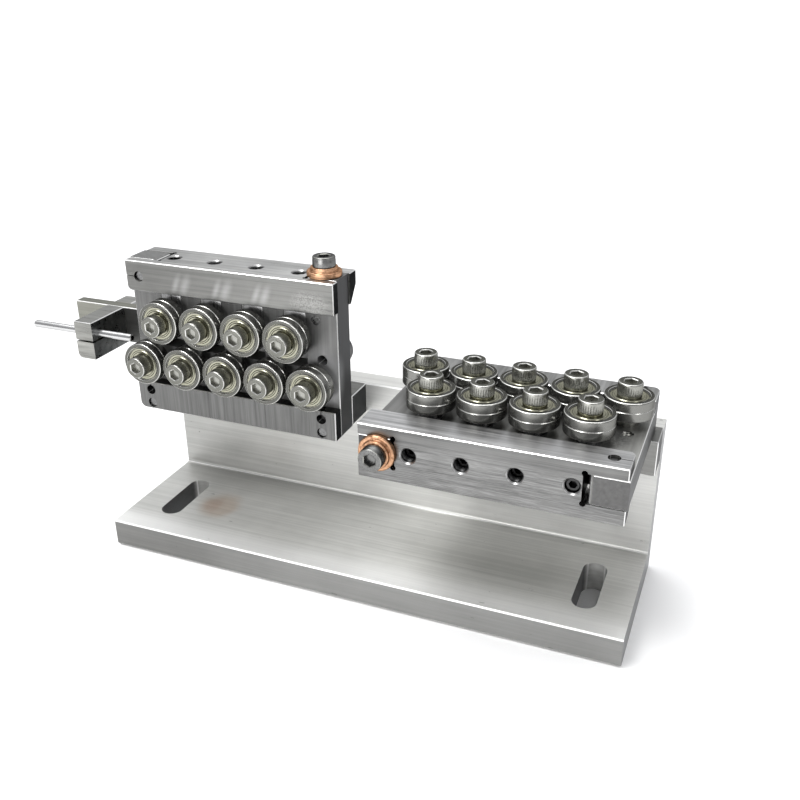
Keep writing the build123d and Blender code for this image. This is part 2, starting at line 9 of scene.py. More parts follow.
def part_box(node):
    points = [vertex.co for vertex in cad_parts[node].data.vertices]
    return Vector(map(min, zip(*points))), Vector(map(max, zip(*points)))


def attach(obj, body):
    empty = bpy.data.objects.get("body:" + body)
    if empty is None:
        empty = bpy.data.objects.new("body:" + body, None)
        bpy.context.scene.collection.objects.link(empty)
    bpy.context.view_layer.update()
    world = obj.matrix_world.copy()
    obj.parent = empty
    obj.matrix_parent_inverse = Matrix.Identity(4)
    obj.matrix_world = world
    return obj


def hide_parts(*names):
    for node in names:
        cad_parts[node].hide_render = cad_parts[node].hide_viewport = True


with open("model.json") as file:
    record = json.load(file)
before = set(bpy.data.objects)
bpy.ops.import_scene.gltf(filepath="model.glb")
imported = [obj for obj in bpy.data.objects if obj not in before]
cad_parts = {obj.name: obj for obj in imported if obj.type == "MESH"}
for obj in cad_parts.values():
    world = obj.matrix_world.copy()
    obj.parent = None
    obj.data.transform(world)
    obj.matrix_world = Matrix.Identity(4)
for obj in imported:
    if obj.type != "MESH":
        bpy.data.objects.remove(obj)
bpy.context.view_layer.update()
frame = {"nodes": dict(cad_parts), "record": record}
nodes = frame["nodes"]
print("frame loaded,", len(nodes), "nodes")

millimetre = 0.001
unitAxes = {  # along: from the hinge to the clamp, up: from the rail to the beam, out: to the rollers
    "upright": {"along": Vector((1, 0, 0)), "up": Vector((0, 0, 1)), "out": Vector((0, -1, 0))},
    "flat": {"along": Vector((-1, 0, 0)), "up": Vector((0, -1, 0)), "out": Vector((0, 0, 1))},
}
towardsFront, towardsBack = Vector((0, -1, 0)), Vector((0, 1, 0))
skyward, downward = Vector((0, 0, 1)), Vector((0, 0, -1))
fixedNumbers = range(1, 6)
movingNumbers = range(1, 5)


def middle(box):
    return (Vector(box[0]) + Vector(box[1])) / 2


def tipOf(box, direction):  # the middle of the box's far face, seen along a direction
    reach = sum(abs(direction[i]) * (box[1][i] - box[0][i]) / 2 for i in range(3))
    return middle(box) + direction * reach


def placeBy(x, y, z, origin):  # a matrix from three axes and an origin
    return Matrix([[x[r], y[r], z[r], origin[r]] for r in range(3)] + [[0, 0, 0, 1]])


def placeAlong(origin, direction, side=None):  # a matrix whose Z runs along a direction
    z = direction.normalized()
    x = side.normalized() if side else Vector((1, 0, 0)) if abs(z.x) < 0.9 else Vector((0, 1, 0))
    return placeBy(x, z.cross(x).normalized(), z, origin)


# shared shader effects
def newGroup(name, inputs, outputs):  # a group with its sockets, its link function and its first nodes
    group = bpy.data.node_groups.new(name, "ShaderNodeTree")
    for label, kind, default in inputs:
        socket = group.interface.new_socket(label, in_out="INPUT", socket_type="NodeSocket" + kind)
        socket.default_value = default
    for label, kind in outputs:
        group.interface.new_socket(label, in_out="OUTPUT", socket_type="NodeSocket" + kind)
    place = group.nodes.new("ShaderNodeTexCoord")
    start = group.nodes.new("NodeGroupInput")
    end = group.nodes.new("NodeGroupOutput")
    return group, group.links.new, place, start, end


def addNode(tree, kind, values=None, **attributes):
    node = tree.nodes.new(kind)
    for key, value in attributes.items():
        setattr(node, key, value)
    for key, value in (values or {}).items():
        node.inputs[key].default_value = value
    return node


def addMask(group, values=None):  # a soft step between two limits
    return addNode(group, "ShaderNodeMapRange", values, interpolation_type="SMOOTHSTEP")


def makeGrainGroup():  # streaks along one direction over slow cloudy variation
    inputs = [
        ("Streak Scale", "Vector", (60.0, 2500.0, 2500.0)),
        ("Dark", "Color", (0.3, 0.3, 0.3, 1)),
        ("Light", "Color", (0.6, 0.6, 0.6, 1)),
        ("Cloud Scale", "Float", 40.0),
        ("Cloud Share", "Float", 0.35),
        ("Rough Low", "Float", 0.25),
        ("Rough High", "Float", 0.4),
    ]
    outputs = [("Color", "Color"), ("Roughness", "Float"), ("Height", "Float")]
    group, link, place, start, end = newGroup("Grain", inputs, outputs)
    stretch = addNode(group, "ShaderNodeVectorMath", operation="MULTIPLY")
    link(place.outputs["Object"], stretch.inputs[0])
    link(start.outputs["Streak Scale"], stretch.inputs[1])
    streak = addNode(group, "ShaderNodeTexNoise", {"Scale": 1.0, "Detail": 5.0, "Roughness": 0.62})
    link(stretch.outputs[0], streak.inputs["Vector"])
    cloud = addNode(group, "ShaderNodeTexNoise", {"Detail": 5.0, "Roughness": 0.55})
    link(place.outputs["Object"], cloud.inputs["Vector"])
    link(start.outputs["Cloud Scale"], cloud.inputs["Scale"])
    both = addNode(group, "ShaderNodeMix", data_type="FLOAT")
    link(start.outputs["Cloud Share"], both.inputs["Factor"])
    link(streak.outputs["Fac"], both.inputs["A"])
    link(cloud.outputs["Fac"], both.inputs["B"])
    spread = addNode(group, "ShaderNodeMapRange", {"From Min": 0.34, "From Max": 0.66})
    link(both.outputs["Result"], spread.inputs["Value"])
    tint = addNode(group, "ShaderNodeMix", data_type="RGBA")
    link(spread.outputs["Result"], tint.inputs["Factor"])
    link(start.outputs["Dark"], tint.inputs["A"])
    link(start.outputs["Light"], tint.inputs["B"])
    rough = addNode(group, "ShaderNodeMapRange", {"From Min": 0.0, "From Max": 1.0})
    link(spread.outputs["Result"], rough.inputs["Value"])
    link(start.outputs["Rough Low"], rough.inputs["To Min"])
    link(start.outputs["Rough High"], rough.inputs["To Max"])
    link(tint.outputs["Result"], end.inputs["Color"])
    link(rough.outputs["Result"], end.inputs["Roughness"])
    link(streak.outputs["Fac"], end.inputs["Height"])
    return group


def makeSpotGroup():  # a soft spot with a ragged edge at one place in the part
    inputs = [
        ("Center", "Vector", (0, 0, 0)),
        ("Spread", "Vector", (0.01, 0.01, 0.01)),
        ("Softness", "Float", 0.5),
        ("Raggedness", "Float", 0.3),
        ("Grain Scale", "Float", 300.0),
        ("Lean", "Vector", (0, 0, 0)),
        ("Amount", "Float", 1.0),
    ]
    group, link, place, start, end = newGroup("Spot", inputs, [("Mask", "Float")])
    offset = addNode(group, "ShaderNodeVectorMath", operation="SUBTRACT")
    link(place.outputs["Object"], offset.inputs[0])
    link(start.outputs["Center"], offset.inputs[1])
    height = addNode(group, "ShaderNodeSeparateXYZ")
    link(offset.outputs[0], height.inputs[0])
    shift = addNode(group, "ShaderNodeVectorMath", operation="SCALE")
    link(start.outputs["Lean"], shift.inputs[0])
    link(height.outputs["Z"], shift.inputs["Scale"])
    leaning = addNode(group, "ShaderNodeVectorMath", operation="SUBTRACT")
    link(offset.outputs[0], leaning.inputs[0])
    link(shift.outputs[0], leaning.inputs[1])
    scaled = addNode(group, "ShaderNodeVectorMath", operation="DIVIDE")
    link(leaning.outputs[0], scaled.inputs[0])
    link(start.outputs["Spread"], scaled.inputs[1])
    reach = addNode(group, "ShaderNodeVectorMath", operation="LENGTH")
    link(scaled.outputs[0], reach.inputs[0])
    noise = addNode(group, "ShaderNodeTexNoise", {"Detail": 4.0})
    link(place.outputs["Object"], noise.inputs["Vector"])
    link(start.outputs["Grain Scale"], noise.inputs["Scale"])
    ragged = addNode(group, "ShaderNodeMath", operation="MULTIPLY")
    link(noise.outputs["Fac"], ragged.inputs[0])
    link(start.outputs["Raggedness"], ragged.inputs[1])
    edge = addNode(group, "ShaderNodeMath", operation="ADD")
    link(reach.outputs["Value"], edge.inputs[0])
    link(ragged.outputs[0], edge.inputs[1])
    inside = addNode(group, "ShaderNodeMath", {0: 1.0}, operation="SUBTRACT")
    link(start.outputs["Softness"], inside.inputs[1])
    mask = addMask(group, {"From Max": 1.0, "To Max": 0.0})
    link(edge.outputs[0], mask.inputs["Value"])
    link(inside.outputs[0], mask.inputs["From Min"])
    link(start.outputs["Amount"], mask.inputs["To Min"])
    link(mask.outputs["Result"], end.inputs["Mask"])
    return group


def makeFacingGroup():  # faces that look along a direction, either way
    inputs = [
        ("Direction", "Vector", (1, 0, 0)),
        ("Low", "Float", 0.75),
        ("High", "Float", 0.97),
        ("Amount", "Float", 1.0),
    ]
    group, link, place, start, end = newGroup("Facing", inputs, [("Mask", "Float")])
    share = addNode(group, "ShaderNodeVectorMath", operation="DOT_PRODUCT")
    link(place.outputs["Normal"], share.inputs[0])
    link(start.outputs["Direction"], share.inputs[1])
    size = addNode(group, "ShaderNodeMath", operation="ABSOLUTE")
    link(share.outputs["Value"], size.inputs[0])
    mask = addMask(group, {"To Min": 0.0})
    link(size.outputs[0], mask.inputs["Value"])
    link(start.outputs["Low"], mask.inputs["From Min"])
    link(start.outputs["High"], mask.inputs["From Max"])
    link(start.outputs["Amount"], mask.inputs["To Max"])
    link(mask.outputs["Result"], end.inputs["Mask"])
    return group


def makeBandGroup():  # a soft step along a direction: all of it before the start, none after the end
    inputs = [
        ("Direction", "Vector", (0, 1, 0)),
        ("Start", "Float", 0.0),
        ("End", "Float", 0.01),
        ("Amount", "Float", 1.0),
    ]
    group, link, place, start, end = newGroup("Band", inputs, [("Mask", "Float")])
    share = addNode(group, "ShaderNodeVectorMath", operation="DOT_PRODUCT")
    link(place.outputs["Object"], share.inputs[0])
    link(start.outputs["Direction"], share.inputs[1])
    mask = addMask(group, {"To Max": 0.0})
    link(share.outputs["Value"], mask.inputs["Value"])
    link(start.outputs["Start"], mask.inputs["From Min"])
    link(start.outputs["End"], mask.inputs["From Max"])
    link(start.outputs["Amount"], mask.inputs["To Min"])
    link(mask.outputs["Result"], end.inputs["Mask"])
    return group


def makeSpeckleGroup():  # small flecks, thinned out by a coverage value
    inputs = [
        ("Scale", "Vector", (900.0, 900.0, 900.0)),
        ("Coverage", "Float", 0.4),
        ("Sharpness", "Float", 0.06),
        ("Amount", "Float", 1.0),
    ]
    group, link, place, start, end = newGroup("Speckle", inputs, [("Mask", "Float")])
    stretch = addNode(group, "ShaderNodeVectorMath", operation="MULTIPLY")
    link(place.outputs["Object"], stretch.inputs[0])
    link(start.outputs["Scale"], stretch.inputs[1])
    noise = addNode(group, "ShaderNodeTexNoise", {"Scale": 1.0, "Detail": 3.0, "Roughness": 0.6})
    link(stretch.outputs[0], noise.inputs["Vector"])
    full = addNode(group, "ShaderNodeMath", operation="ADD")
    link(start.outputs["Coverage"], full.inputs[0])
    link(start.outputs["Sharpness"], full.inputs[1])
    mask = addMask(group, {"To Max": 0.0})
    link(noise.outputs["Fac"], mask.inputs["Value"])
    link(start.outputs["Coverage"], mask.inputs["From Min"])
    link(full.outputs[0], mask.inputs["From Max"])
    link(start.outputs["Amount"], mask.inputs["To Min"])
    link(mask.outputs["Result"], end.inputs["Mask"])
    return group


def makeEdgeGroup():  # the chamfers, which look along none of the three axes
    inputs = [("Amount", "Float", 1.0)]
    group, link, place, start, end = newGroup("Edge", inputs, [("Mask", "Float")])
    size = addNode(group, "ShaderNodeVectorMath", operation="ABSOLUTE")
    link(place.outputs["Normal"], size.inputs[0])
    parts = addNode(group, "ShaderNodeSeparateXYZ")
    link(size.outputs[0], parts.inputs[0])
    larger = addNode(group, "ShaderNodeMath", operation="MAXIMUM")
    link(parts.outputs["X"], larger.inputs[0])
    link(parts.outputs["Y"], larger.inputs[1])
    largest = addNode(group, "ShaderNodeMath", operation="MAXIMUM")
    link(larger.outputs[0], largest.inputs[0])
    link(parts.outputs["Z"], largest.inputs[1])
    mask = addNode(group, "ShaderNodeMapRange", {"From Min": 0.72, "From Max": 0.79, "To Max": 0.0})
    link(largest.outputs[0], mask.inputs["Value"])
    link(start.outputs["Amount"], mask.inputs["To Min"])
    link(mask.outputs["Result"], end.inputs["Mask"])
    return group


grainGroup = makeGrainGroup()
maskGroups = {
    "edge": makeEdgeGroup(),
    "spot": makeSpotGroup(),
    "facing": makeFacingGroup(),
    "band": makeBandGroup(),
    "speckle": makeSpeckleGroup(),
}


def grey(value, warm=0.0):
    return (value, value, value * (1 - 2 * warm), 1)


def greys(dark, light, warm=0.0):  # the two tones of a steel, more olive where warm
    return grey(dark, warm), grey(light, warm)


def maskOf(tree, masks):  # the product of a tint's masks
    factor = None
    for kind, values in masks:
        mask = addNode(tree, "ShaderNodeGroup", values, node_tree=maskGroups[kind]).outputs["Mask"]
        if factor is not None:
            together = addNode(tree, "ShaderNodeMath", operation="MULTIPLY")
            tree.links.new(factor, together.inputs[0])
            tree.links.new(mask, together.inputs[1])
            mask = together.outputs[0]
        factor = mask
    return factor


def metalMaterial(name, settings):
    material = bpy.data.materials.new(name)
    material.use_nodes = True
    tree = material.node_tree
    link = tree.links.new
    shader = tree.nodes["Principled BSDF"]
    shader.inputs["Metallic"].default_value = settings["metallic"]
    shader.inputs["Specular Tint"].default_value = grey(settings["edgeTint"])
    grain = addNode(tree, "ShaderNodeGroup", node_tree=grainGroup)
    for key, value in settings["grain"].items():
        grain.inputs[key].default_value = value
    color = grain.outputs["Color"]
    for tint in settings["tints"]:
        blendType = tint.get("blend", "MULTIPLY")
        blend = addNode(tree, "ShaderNodeMix", data_type="RGBA", blend_type=blendType)
        blend.inputs["B"].default_value = tint["color"]
        link(maskOf(tree, tint["masks"]), blend.inputs["Factor"])
        link(color, blend.inputs["A"])
        color = blend.outputs["Result"]
    bump = addNode(tree, "ShaderNodeBump", {"Strength": settings["bump"], "Distance": settings["bumpDepth"]})
    link(color, shader.inputs["Base Color"])
    link(grain.outputs["Roughness"], shader.inputs["Roughness"])
    link(grain.outputs["Height"], bump.inputs["Height"])
    link(bump.outputs["Normal"], shader.inputs["Normal"])
    return material


# grain directions, as the noise's frequencies along X, Y and Z
alongX = (14.0, 900.0, 900.0)
alongXShort = (30.0, 420.0, 420.0)
alongY = (700.0, 20.0, 700.0)
alongZ = (700.0, 700.0, 20.0)
even = (900.0, 900.0, 900.0)
fine = (3500.0, 3500.0, 3500.0)


def steelFinish(direction, tones, rough, tints=(), bump=0.3, clouds=0.35, metal=1.0, edgeTint=0.35):
    grain = {"Streak Scale": direction, "Dark": tones[0], "Light": tones[1]}
    grain.update({"Rough Low": rough[0], "Rough High": rough[1], "Cloud Share": clouds})
    return {
        "grain": grain,
        "bump": bump,
        "bumpDepth": 0.00003,
        "tints": list(tints),
        "metallic": metal,
        "edgeTint": edgeTint,
    }


def endFinishAndShade(value):  # the end faces, in a cooler and darker tone: a cooler finish, with painted shade darkening them further
    return {"masks": [("facing", {})], "color": (value, value * 1.02, value * 1.08, 1)}


def darkFront(value):  # the ends of the flat plate's ears, left darker than the beam beside them
    tone = (value, value * 0.99, value * 1.02, 1)
    return {"masks": [("facing", {"Direction": (0, 1, 0)})], "color": tone}


def paintedTopSheen(value):  # painted sheen: the top faces, brighter than the ones beside them as light from above would make them
    tone = (value, value, value * 1.02, 1)
    return {"masks": [("facing", {"Direction": (0, 0, 1)})], "color": tone}


# painted glints: the chamfers mixed towards near white
def paintedEdgeGlints(amount=0.8):
    return {"masks": [("edge", {"Amount": amount})], "color": (0.93, 0.93, 0.92, 1), "blend": "MIX"}


def spot(center, spread, **values):  # a spot's mask, its place and reach in millimetres
    place = {
        "Center": tuple(c * millimetre for c in center),
        "Spread": tuple(s * millimetre for s in spread),
    }
    place.update({key.replace("_", " ").title(): value for key, value in values.items()})
    return ("spot", place)


holeShade = {"radius": 3.4, "depth": 30, "color": (0.3, 0.3, 0.3, 1)}


def darkHoles(unit):  # the rims and walls of the beam's set screw holes
    tints = []
    for number in movingNumbers:
        center = middle(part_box(f"{unit}_set_screw_{number}")) / millimetre
        spread = [holeShade["radius"] + holeShade["depth"] * abs(c) for c in unitAxes[unit]["up"]]
        masks = [spot(center, spread, softness=0.2, raggedness=0.0)]
        tints.append({"masks": masks, "color": holeShade["color"]})
    return tints


# real stains and pits on the bracket, with painted light and shade among them
footMarksAndPaintedLight = [
    {  # painted light on the flange's middle and right part, paler where the units' shadow falls
        "masks": [
            ("facing", {"Direction": (0, 1, 0)}),
            ("band", {"Direction": (-1, 0, 0), "Start": 0.02, "End": 0.07, "Amount": 0.3}),
        ],
        "color": (0.5, 0.5, 0.5, 1),
        "blend": "SCREEN",
    },
    {  # painted shade: the bracket's left part, darker, dimming its reflection there
        "masks": [("band", {"Direction": (1, 0, 0), "Start": -0.1, "End": -0.01})],
        "color": (0.72, 0.72, 0.72, 1),
    },
    {  # the front face of the foot, in shade
        "masks": [("band", {"Start": -0.0267, "End": -0.0265})],
        "color": (0.38, 0.38, 0.38, 1),
    },
    endFinishAndShade(0.3),
    {  # painted sheen: the pale strip along the foot's front edge
        "masks": [
            ("band", {"Start": -0.0235, "End": -0.012, "Amount": 0.5}),
            ("facing", {"Direction": (0, 0, 1)}),
        ],
        "color": (0.86, 0.86, 0.85, 1),
        "blend": "MIX",
    },
    {  # the flat unit's dark shade on the foot
        "masks": [
            spot((55, 0, 11.8), (75, 24, 3), softness=0.8, raggedness=0.25, grain_scale=30, amount=0.85)
        ],
        "color": (0.72, 0.72, 0.71, 1),
    },
    {  # brown stain beside the left slot
        "masks": [
            spot(
                (-69, -1, 11.8),
                (13.5, 14.5, 3),
                softness=0.45,
                raggedness=0.35,
                grain_scale=120,
                amount=0.75,
            )
        ],
        "color": (0.80, 0.66, 0.57, 1),
    },
    {  # a darker core to the stain
        "masks": [
            spot((-72, -1.5, 11.8), (8, 10, 3), softness=0.7, raggedness=0.5, grain_scale=260, amount=0.55)
        ],
        "color": (0.82, 0.7, 0.62, 1),
    },
    {  # a few dark pits and scuffs on the foot and the flange
        "masks": [
            ("speckle", {"Scale": (160, 420, 420), "Coverage": 0.27, "Sharpness": 0.02, "Amount": 0.6})
        ],
        "color": (0.35, 0.35, 0.35, 1),
    },
]
streaks = {  # slanted streaks of light on the front of the upright beam
    # X and half width
    "places": [(-79.5, 2.4), (-75.5, 3.3), (-61.5, 2.4), (-57.5, 3.6), (-44.5, 2.4), (-40.8, 3.0)],
    "y": -0.65,
    "z": 107.2,
    "halfDepth": 3,
    "halfHeight": 6.8,
    "edge": {"softness": 0.98, "raggedness": 0.12, "lean": (0.4, 0, 0), "amount": 0.25},
    "color": (0.62, 0.62, 0.62, 1),
}
beamStreaks = []
for x, halfWidth in streaks["places"]:
    center = (x, streaks["y"], streaks["z"])
    spread = (halfWidth, streaks["halfDepth"], streaks["halfHeight"])
    masks = [spot(center, spread, **streaks["edge"])]
    beamStreaks.append({"masks": masks, "color": streaks["color"], "blend": "SCREEN"})
beamShade = {  # the hinge end of the upright beam, darker than its clamp end
    "masks": [("band", {"Direction": (1, 0, 0), "Start": -0.1, "End": -0.035})],
    "color": (0.8, 0.8, 0.8, 1),
}
beamPatch = {  # hammered flecks at the clamp end of the upright beam
    "masks": [
        spot((-22, -0.65, 106.5), (13, 3, 7.5), softness=0.5, raggedness=0.4, grain_scale=180),
        ("speckle", {"Scale": (1900, 1900, 2600), "Coverage": 0.46, "Sharpness": 0.1, "Amount": 0.22}),
    ],
    "color": (0.55, 0.55, 0.53, 1),
    "blend": "SCREEN",
}
flatBeamFlecks = {  # fine bright flecks over the flat beam's lower half
    "masks": [
        ("band", {"Direction": (0, 0, 1), "Start": 0.0735, "End": 0.079}),
        ("speckle", {"Scale": (110, 3200, 3200), "Coverage": 0.44, "Sharpness": 0.08, "Amount": 0.16}),
    ],
    "color": (0.5, 0.5, 0.5, 1),
    "blend": "SCREEN",
}
stripShade = {  # the strip between its arm and the plate, in shade
    "masks": [
        ("band", {"Direction": (-1, 0, 0), "Start": 0.117, "End": 0.118}),
        ("band", {"Start": 0.0139, "End": 0.0145}),
    ],
    "color": (0.35, 0.35, 0.38, 1),
}
paintedPlateLight = {  # painted light: the upright plate between its rollers and its clamp end, paler where the rollers' shadow falls
    "masks": [
        spot((-19, 3.25, 77), (12, 8, 16), softness=0.7, raggedness=0.2, grain_scale=60, amount=0.7)
    ],
    "color": (0.4, 0.4, 0.41, 1),
    "blend": "SCREEN",
}
plateShade = {  # the clamp end of the flat plate, darker
    "masks": [("band", {"Direction": (1, 0, 0), "Start": 0.02, "End": 0.07})],
    "color": (0.62, 0.62, 0.63, 1),
}
platePatch = {  # flecks beside the open hole of the flat plate
    "masks": [
        spot((91, -8, 76.85), (10, 12, 3), softness=0.5, raggedness=0.5, grain_scale=160),
        ("speckle", {"Scale": (1400, 1000, 1400), "Coverage": 0.5, "Sharpness": 0.08, "Amount": 0.6}),
    ],
    "color": (0.42, 0.42, 0.42, 1),
}
washerSpots = {  # darker spots on the copper
    "masks": [("speckle", {"Scale": (700, 700, 700), "Coverage": 0.42, "Sharpness": 0.06, "Amount": 0.6})],
    "color": (0.4, 0.33, 0.3, 1),
}
# these tint lists hold painted shade on the ends, a painted sheen on the tops and painted glints on the
# chamfers
uprightBeamTints = [endFinishAndShade(0.18), paintedTopSheen(3.6), *beamStreaks, beamPatch, beamShade, paintedEdgeGlints()]
uprightBeamTints += darkHoles("upright")
flatBeamTints = [endFinishAndShade(0.18), paintedTopSheen(2.7), flatBeamFlecks, paintedEdgeGlints(), *darkHoles("flat")]
flatPlateTints = [endFinishAndShade(0.24), darkFront(0.35), plateShade, platePatch, paintedEdgeGlints()]
railTints = [endFinishAndShade(0.35), paintedEdgeGlints()]
brushed = {"bump": 0.5, "clouds": 0.2}
turned = {"bump": 0.05, "clouds": 0.1}
polished = {"bump": 0.01, "clouds": 0.1}
finishes = {
    "bracket_aluminium": steelFinish(
        alongX,
        greys(0.46, 0.66, 0.02),
        (0.34, 0.46),
        [*footMarksAndPaintedLight, paintedEdgeGlints(0.9)],
        bump=0.35,
        clouds=0.45,
        metal=0.45,
        edgeTint=1.0,
    ),
    "ground_steel": steelFinish(alongX, greys(0.16, 0.25, 0.02), (0.28, 0.4), [endFinishAndShade(0.5), paintedEdgeGlints()]),
    "upright_beam_steel": steelFinish(alongX, greys(0.14, 0.24, 0.02), (0.26, 0.38), uprightBeamTints),
    "flat_beam_steel": steelFinish(alongX, greys(0.1, 0.24, 0.01), (0.26, 0.4), flatBeamTints),
    # the upright unit's plate and rail steels are darker copies, the flat unit's paler: painted shade on
    # faces looking front, painted light on faces looking up
    "plate_steel_z": steelFinish(
        alongZ, greys(0.12, 0.2, 0.01), (0.32, 0.44), [endFinishAndShade(0.32), paintedPlateLight, paintedEdgeGlints()], metal=0.5
    ),
    "plate_steel_y": steelFinish(alongY, greys(0.28, 0.4, 0.02), (0.3, 0.42), flatPlateTints, metal=0.75),
    "rail_steel_z": steelFinish(alongZ, greys(0.09, 0.18, 0.01), (0.26, 0.4), railTints, **brushed),
    "rail_steel_y": steelFinish(alongY, greys(0.24, 0.4, 0.01), (0.26, 0.4), railTints, **brushed),
    "slider_steel_z": steelFinish(alongZ, greys(0.26, 0.38), (0.24, 0.36), metal=0.7),
    "slider_steel_y": steelFinish(alongY, greys(0.24, 0.36), (0.24, 0.36), metal=0.7),
    "slider_steel": steelFinish(even, greys(0.2, 0.3), (0.22, 0.34)),
    "roller_steel": steelFinish(fine, greys(0.2, 0.225, 0.03), (0.23, 0.26), metal=0.9, **polished),
    # a darker copy of the roller steel for the ring's flat faces: painted shade
    "ring_face_shaded_steel": steelFinish(fine, greys(0.11, 0.13, 0.04), (0.24, 0.28), **polished),
    # a paler copy of the steel that paints glints on rims, grooves and bevels
    "painted_glint_steel": steelFinish(fine, greys(0.6, 0.7, 0.02), (0.2, 0.3), bump=0.03, clouds=0.1),
    "shield_steel": steelFinish(fine, ((0.3, 0.295, 0.23, 1), (0.36, 0.355, 0.28, 1)), (0.2, 0.28), **turned),
    "screw_steel": steelFinish(fine, greys(0.28, 0.36, 0.04), (0.24, 0.34), **turned),
    # a darker copy of the screw steel for the heads' faces: painted shade
    "screw_face_shaded_steel": steelFinish(fine, greys(0.14, 0.19, 0.05), (0.2, 0.3), **turned),
    "clamp_screw_steel": steelFinish(even, greys(0.14, 0.2, 0.01), (0.22, 0.34)),
    # very dark: painted shade down the tapped holes, on the set screws and the threads there
    "set_screw_steel": steelFinish(even, greys(0.04, 0.08), (0.3, 0.45)),
    "pin_steel": steelFinish(even, greys(0.13, 0.22), (0.22, 0.36)),
    "dowel_steel": steelFinish(even, greys(0.4, 0.5), (0.22, 0.34)),
    "tube_steel": steelFinish(alongX, greys(0.5, 0.62), (0.16, 0.28)),
    "guide_steel": steelFinish(
        alongXShort,
        greys(0.16, 0.36, 0.03),
        (0.24, 0.38),
        [endFinishAndShade(0.95), paintedEdgeGlints()],
        edgeTint=0.8,
        **brushed,
    ),
    "strip_steel": steelFinish(
        alongX, greys(0.19, 0.27, 0.06), (0.3, 0.42), [endFinishAndShade(0.45), stripShade, paintedEdgeGlints()], metal=0.8
    ),
    "washer_copper": steelFinish(
        even, ((0.34, 0.18, 0.1, 1), (0.66, 0.4, 0.25, 1)), (0.24, 0.42), [washerSpots]
    ),
}
materials = {name: metalMaterial(name, settings) for name, settings in finishes.items()}
slotOf = {entry["node"]: entry["material_slot"] for entry in frame["record"]["subparts"]}
bodies = frame["record"]["behaviour"]["bodies"]
bodyOf = {node: body for body, inside in bodies.items() for node in inside}
ownFinish = {
    "upright_rail": "rail_steel_z",
    "flat_rail": "rail_steel_y",
    "upright_body_plate": "plate_steel_z",
    "flat_body_plate": "plate_steel_y",
    "upright_beam": "upright_beam_steel",
    "flat_beam": "flat_beam_steel",
    "guide_arm": "guide_steel",
    "dowel_pins": "dowel_steel",
    "guide_strip": "strip_steel",
}
for name, node in nodes.items():
    node.data.materials.clear()
    node.data.materials.append(materials[ownFinish.get(name, slotOf[name])])
print("finishes on", len(nodes), "nodes")


# pieces
def meshFrom(name, bm, finishNames):
    bmesh.ops.recalc_face_normals(bm, faces=bm.faces)
    mesh = bpy.data.meshes.new(name)
    bm.to_mesh(mesh)
    bm.free()
    for finish in finishNames:
        mesh.materials.append(materials[finish])
    return mesh


def placeMesh(name, mesh, body, replaced=(), smoothAngle=35.0):
    piece = bpy.data.objects.new(name, mesh)
    bpy.context.scene.collection.objects.link(piece)
    for face in mesh.polygons:
        face.use_smooth = True
    mesh.set_sharp_from_angle(angle=math.radians(smoothAngle))
    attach(piece, body)
    if replaced:
        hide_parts(*replaced)
    return piece


def addRing(bm, place, radius, height, samples):  # the radius is a number, or a function of step and angle
    ring = []
    for step in range(samples):
        angle = 2 * math.pi * step / samples
        reach = (radius(step, angle) if callable(radius) else radius) * millimetre
        point = Vector((reach * math.cos(angle), reach * math.sin(angle), height * millimetre))
        ring.append(bm.verts.new(place @ point))
    return ring


def joinRings(bm, rings, finishIndex=0, closed=False):  # one finish, or one for each step of the profile
    pairs = list(zip(rings, rings[1:]))
    if closed:
        pairs.append((rings[-1], rings[0]))
    indices = [finishIndex] * len(pairs) if isinstance(finishIndex, int) else finishIndex
    for (here, after), index in zip(pairs, indices):
        count = len(here)
        for step in range(count):
            nextStep = (step + 1) % count
            face = bm.faces.new((here[step], here[nextStep], after[nextStep], after[step]))
            face.material_index = index


def spin(bm, place, profile, samples, finishIndex=0, closed=True):  # turns (radius, height) pairs about Z
    rings = [addRing(bm, place, radius, height, samples) for radius, height in profile]
    joinRings(bm, rings, finishIndex, closed)
    return rings


def arc(center, radius, start, end, steps):  # points round a profile's corner, angles in degrees
    points = []
    for step in range(steps + 1):
        angle = math.radians(start + (end - start) * step / steps)
        points.append((center[0] + radius * math.cos(angle), center[1] + radius * math.sin(angle)))
    return points


def solidBoxes(node):  # the box of each separate solid in a CAD node
    bm = bmesh.new()
    bm.from_mesh(nodes[node].data)
    bmesh.ops.remove_doubles(bm, verts=bm.verts, dist=1e-6)
    left = set(bm.verts)
    boxes = []
    while left:
        pending = [left.pop()]
        found = []
        while pending:
            vertex = pending.pop()
            found.append(vertex.co.copy())
            for edge in vertex.link_edges:
                other = edge.other_vert(vertex)
                if other in left:
                    left.remove(other)
                    pending.append(other)
        low = Vector(min(point[i] for point in found) for i in range(3))
        high = Vector(max(point[i] for point in found) for i in range(3))
        boxes.append((low, high))
    bm.free()
    return sorted(boxes, key=lambda box: tuple(round(v, 5) for v in box[0]))


